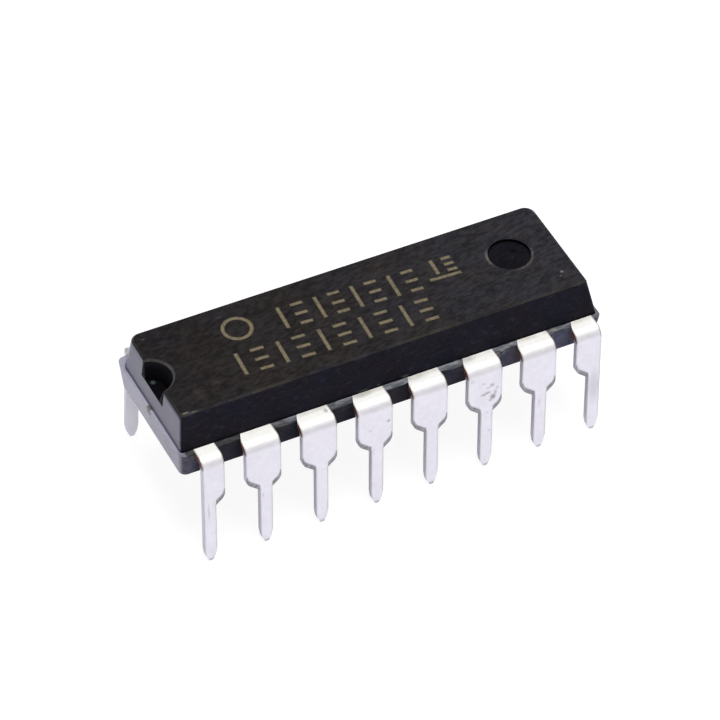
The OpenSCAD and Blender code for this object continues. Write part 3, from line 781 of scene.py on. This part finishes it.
def tin_material(settings):
    """Matt tin plate on a punched strip, with bare copper where the dam bar was cut."""
    material, tree, shader = new_material("Tin_plate")
    at = surface_place(tree)
    clouds, patches, grain = [
        use_group(tree, mottle_group(), Position=at.position, Feature_size=size)["Value"]
        for size in (0.6 * MM, 0.18 * MM, 0.06 * MM)]
    from_pin, mirrored = beside_pins(tree, at.along)

    # Painted highlight: the tin's upward faces are paler
    faces_up = ramp(tree, at.normal["Z"], 0.5, 0.95)
    colour = blend_colours(tree, faces_up, settings.tin_colour, settings.flat_highlight_colour)
    # Painted shade across the bend, added to the darker patches of the mottling
    bend_shade = times(tree, ramp(tree, at.normal["Z"], 0.0, 0.5),
                    ramp(tree, at.normal["Z"], 0.99, 0.52))
    dull = -0.10
    for pattern, share in ((clouds, 0.12), (patches, 0.15), (grain, 0.10), (bend_shade, 0.62)):
        dull = maths(tree, "MULTIPLY_ADD", pattern, share, dull)
    colour = blend_colours(tree, dull, colour, scaled(settings.tin_colour, 0.5))

    outwards = maths(tree, "ABSOLUTE", at.side)
    at_root = times(tree, ramp(tree, outwards, WALL_Y + 0.22 * MM, WALL_Y),
                    ramp(tree, clouds, 0.2, 0.8, 0.1, 0.6),
                    ramp(tree, at.along, -8.5 * MM, -3 * MM, 0.1, 1.0))
    colour = blend_colours(tree, at_root, colour, ROOT_COLOUR)

    noise = add(tree, "ShaderNodeTexNoise", {"Vector": at.position, "Scale": 9000.0, "Detail": 2.0})
    centred = vector_maths(tree, "SUBTRACT", noise.outputs["Color"], (0.5, 0.5, 0.5))
    shift = vector_maths(tree, "MULTIPLY", centred, (RAGGED_REACH, RAGGED_REACH, RAGGED_REACH))
    stains = marks_mask(tree, vector_maths(tree, "ADD", at.position, shift), TIN_MARKS)
    colour = blend_colours(tree, stains, colour, STAIN_COLOUR)

    bare = times(tree, ramp(tree, at.height, BEND_Z, BEND_Z + 0.12 * MM),
                 ramp(tree, at.side, 0.1 * MM, 0.0, 0.3, 1.0))
    # Painted shade on the rolled-over edges, giving way to bare copper above the bend
    rolled = times(tree, punched_edges(tree, at.along, at.height, from_pin, mirrored), 0.8)
    edge_shade_and_copper = blend_colours(tree, bare, scaled(settings.tin_colour, 0.62), ROLLED_COPPER)
    colour = blend_colours(tree, rolled, colour, edge_shade_and_copper)
    tips = times(tree, ramp(tree, at.height, 0.20 * MM, 0.03 * MM), 0.8)
    colour = blend_colours(tree, tips, colour, scaled(settings.tin_colour, 0.45))
    # Painted shade along the lower edges of the shoulders
    shoulder_shade = greatest(tree, shoulder_curve(tree, mirrored, at.height, SHOULDER_LEFT),
                     shoulder_curve(tree, from_pin, at.height, SHOULDER_RIGHT))
    shoulder_shade = times(tree, shoulder_shade, ramp(tree, patches, 0.1, 0.8, 0.75, 0.95))
    colour = blend_colours(tree, shoulder_shade, colour, scaled(settings.tin_colour, 0.20))

    # Painted reflection: the far row's inner faces are near white
    inner = times(tree, ramp(tree, at.side, 1 * MM, 2 * MM), ramp(tree, at.normal["Y"], -0.3, -0.7))
    colour = blend_colours(tree, inner, colour, INNER_TIN_REFLECTION)
    stained = ramp(tree, patches, 0.3, 0.9, 0.0, 0.7)
    copper = blend_colours(tree, stained, settings.copper_colour, STAINED_COPPER)
    cut_colour = blend_colours(tree, bare, scaled(settings.tin_colour, 0.90), copper)
    cut_faces = ramp(tree, maths(tree, "ABSOLUTE", at.normal["X"]), 0.7, 0.9)
    colour = blend_colours(tree, cut_faces, colour, cut_colour)

    uneven = maths(tree, "ADD", grain, patches)
    bump = add(tree, "ShaderNodeBump", {"Height": uneven, "Strength": 0.2, "Distance": 0.006 * MM})
    connect(tree, shader, Base_Color=colour, Metallic=0.2, Normal=bump.outputs["Normal"],
            Roughness=maths(tree, "MULTIPLY_ADD", clouds, 0.10, 0.45), Specular_IOR_Level=0.3)
    return material


def plain_material(name, colour, metallic, roughness, feature_size):
    """A finish for the sealed inner parts: one colour, with cloudy lightness and roughness."""
    material, tree, shader = new_material(name)
    position = add(tree, "ShaderNodeTexCoord").outputs["Object"]
    clouds = use_group(tree, mottle_group(), Position=position,
                       Feature_size=feature_size)["Value"]
    connect(tree, shader, Metallic=metallic,
            Base_Color=blend_colours(tree, times(tree, clouds, 0.3), colour, scaled(colour, 0.6)),
            Roughness=maths(tree, "MULTIPLY_ADD", clouds, 0.15, roughness))
    return material


def paddle_material():
    """Copper alloy, dull and dark where the tie bars were cut off flush with the body."""
    material, tree, shader = new_material("Copper_alloy")
    position = add(tree, "ShaderNodeTexCoord").outputs["Object"]
    clouds = use_group(tree, mottle_group(), Position=position, Feature_size=0.4 * MM)["Value"]
    from_middle = maths(tree, "ABSOLUTE", separate(tree, position)["X"])
    cut_end = ramp(tree, from_middle, BODY_HIGH.x - 0.4 * MM, BODY_HIGH.x - 0.2 * MM)
    colour = blend_colours(tree, times(tree, clouds, 0.3), PADDLE_COPPER, PADDLE_SHADE)
    connect(tree, shader, Base_Color=blend_colours(tree, cut_end, colour, CUT_END_COLOUR),
            Metallic=maths(tree, "MULTIPLY_ADD", cut_end, -0.7, 0.8),
            Roughness=maths(tree, "MULTIPLY_ADD", clouds, 0.15, 0.4))
    return material


def floor_material():
    """White to the camera, with a soft shadow; a plain white floor to the lamps."""
    material, tree, shader = new_material("Floor")
    light_path = add(tree, "ShaderNodeLightPath").outputs
    seen = light_path["Is Camera Ray"]
    mirrored = greatest(tree, light_path["Is Glossy Ray"], light_path["Is Transmission Ray"])
    strength = maths(tree, "MULTIPLY_ADD", seen, FLOOR_GLOW, times(tree, mirrored, 0.10))
    connect(tree, shader, Base_Color=blend_colours(tree, seen, FLOOR_LIT, FLOOR_SEEN),
            Roughness=0.9, Specular_IOR_Level=0.0, Emission_Color=(1.0, 1.0, 1.0, 1.0),
            Emission_Strength=strength)
    return material


# Operators

class CIRCUIT_OT_dress_body(bpy.types.Operator):
    """Give the moulded body its finish"""
    bl_idname = "circuit.dress_body"
    bl_label = "Dress the body"

    def execute(self, context):
        dress(["body"], moulding_material(context.scene.circuit_moulding,
                                          context.scene.circuit_marking))
        return {"FINISHED"}


class CIRCUIT_OT_dress_leads(bpy.types.Operator):
    """Give the sixteen leads their tin plate"""
    bl_idname = "circuit.dress_leads"
    bl_label = "Dress the leads"

    def execute(self, context):
        dress([f"lead_{n}" for n in range(1, LEAD_COUNT + 1)],
              tin_material(context.scene.circuit_leads))
        return {"FINISHED"}


class CIRCUIT_OT_dress_inside(bpy.types.Operator):
    """Give the sealed inner parts their finishes"""
    bl_idname = "circuit.dress_inside"
    bl_label = "Dress the inside"

    def execute(self, context):
        dress(["die_pad"], paddle_material())
        dress(["die_attach"], plain_material("Die_attach", ATTACH_COLOUR, 0.2, 0.6, 0.2 * MM))
        dress(["die"], plain_material("Silicon", SILICON_COLOUR, 0.6, 0.12, 0.3 * MM))
        dress([f"bond_wire_{n}" for n in range(1, LEAD_COUNT + 1)],
              plain_material("Gold_wire", GOLD_COLOUR, 1.0, 0.25, 0.1 * MM))
        return {"FINISHED"}


def place_looking(item, azimuth, elevation, distance, target, roll=0.0):
    """Puts a lamp or camera in place, turned from the front and looking at the target."""
    back = Vector((math.sin(azimuth) * math.cos(elevation),
                   -math.cos(azimuth) * math.cos(elevation), math.sin(elevation)))
    turn = back.to_track_quat("Z", "Y").to_matrix() @ Matrix.Rotation(roll, 3, "Z")
    item.matrix_world = Matrix.Translation(target + back * distance) @ turn.to_4x4()


def soft_lamp(name, azimuth, elevation, distance, size, power, target):
    """Adds a square soft lamp that looks at the target."""
    light = bpy.data.lights.new(name, "AREA")
    light.shape = "SQUARE"
    light.size = size
    light.energy = power
    lamp = bpy.data.objects.new(name, light)
    bpy.context.scene.collection.objects.link(lamp)
    place_looking(lamp, math.radians(azimuth), math.radians(elevation), distance, target)


class CIRCUIT_OT_set_stage(bpy.types.Operator):
    """Set up the camera, the soft lamps and the plain pale floor"""
    bl_idname = "circuit.set_stage"
    bl_label = "Set the stage"

    def execute(self, context):
        settings = context.scene.circuit_stage
        data = bpy.data.cameras.new("Camera")
        data.sensor_fit = "HORIZONTAL"
        data.sensor_width = 36.0
        data.lens = settings.lens
        data.clip_start = 0.01
        data.clip_end = 10.0
        camera = bpy.data.objects.new("Camera", data)
        context.scene.collection.objects.link(camera)
        context.scene.camera = camera
        place_looking(camera, settings.azimuth, settings.elevation, settings.distance,
                      CAMERA_TARGET, settings.roll)
        for lamp in LAMPS:
            soft_lamp(*lamp)

        world = bpy.data.worlds.new("Studio")
        world.use_nodes = True
        tree = world.node_tree
        tree.nodes.clear()
        seen = add(tree, "ShaderNodeLightPath").outputs["Is Camera Ray"]
        strength = maths(tree, "MULTIPLY_ADD", seen, 1.0 - WORLD_LIGHT, WORLD_LIGHT)
        glow = add(tree, "ShaderNodeBackground",
                   {"Color": (1.0, 1.0, 1.0, 1.0), "Strength": strength})
        add(tree, "ShaderNodeOutputWorld", {"Surface": glow.outputs[0]})
        context.scene.world = world

        mesh = bpy.data.meshes.new("Floor")
        shape = bmesh.new()
        bmesh.ops.create_grid(shape, x_segments=1, y_segments=1, size=FLOOR_HALF)
        shape.to_mesh(mesh)
        shape.free()
        floor = bpy.data.objects.new("Floor", mesh)
        context.scene.collection.objects.link(floor)
        mesh.materials.append(floor_material())

        context.scene.view_settings.view_transform = "Standard"
        return {"FINISHED"}


class CIRCUIT_PT_sidebar(bpy.types.Panel):
    """Lists the steps that dress the circuit"""
    bl_idname = "CIRCUIT_PT_sidebar"
    bl_label = "Dual in-line circuit"
    bl_space_type = "VIEW_3D"
    bl_region_type = "UI"
    bl_category = "Circuit"

    def draw(self, context):
        for step in OPERATORS:
            self.layout.operator(step.bl_idname)


SETTINGS = {
    "circuit_moulding": MouldingSettings,
    "circuit_marking": MarkingSettings,
    "circuit_leads": LeadSettings,
    "circuit_stage": StageSettings,
}
OPERATORS = (
    CIRCUIT_OT_dress_body,
    CIRCUIT_OT_dress_leads,
    CIRCUIT_OT_dress_inside,
    CIRCUIT_OT_set_stage,
)
CLASSES = (*SETTINGS.values(), *OPERATORS, CIRCUIT_PT_sidebar)


def register():
    for each in CLASSES:
        bpy.utils.register_class(each)
    for name, group in SETTINGS.items():
        setattr(bpy.types.Scene, name, PointerProperty(type=group))


def unregister():
    for name in SETTINGS:
        delattr(bpy.types.Scene, name)
    for each in reversed(CLASSES):
        bpy.utils.unregister_class(each)


def main():
    register()
    bpy.ops.circuit.dress_body()
    bpy.ops.circuit.dress_leads()
    bpy.ops.circuit.dress_inside()
    bpy.ops.circuit.set_stage()


if __name__ == "__main__":
    main()
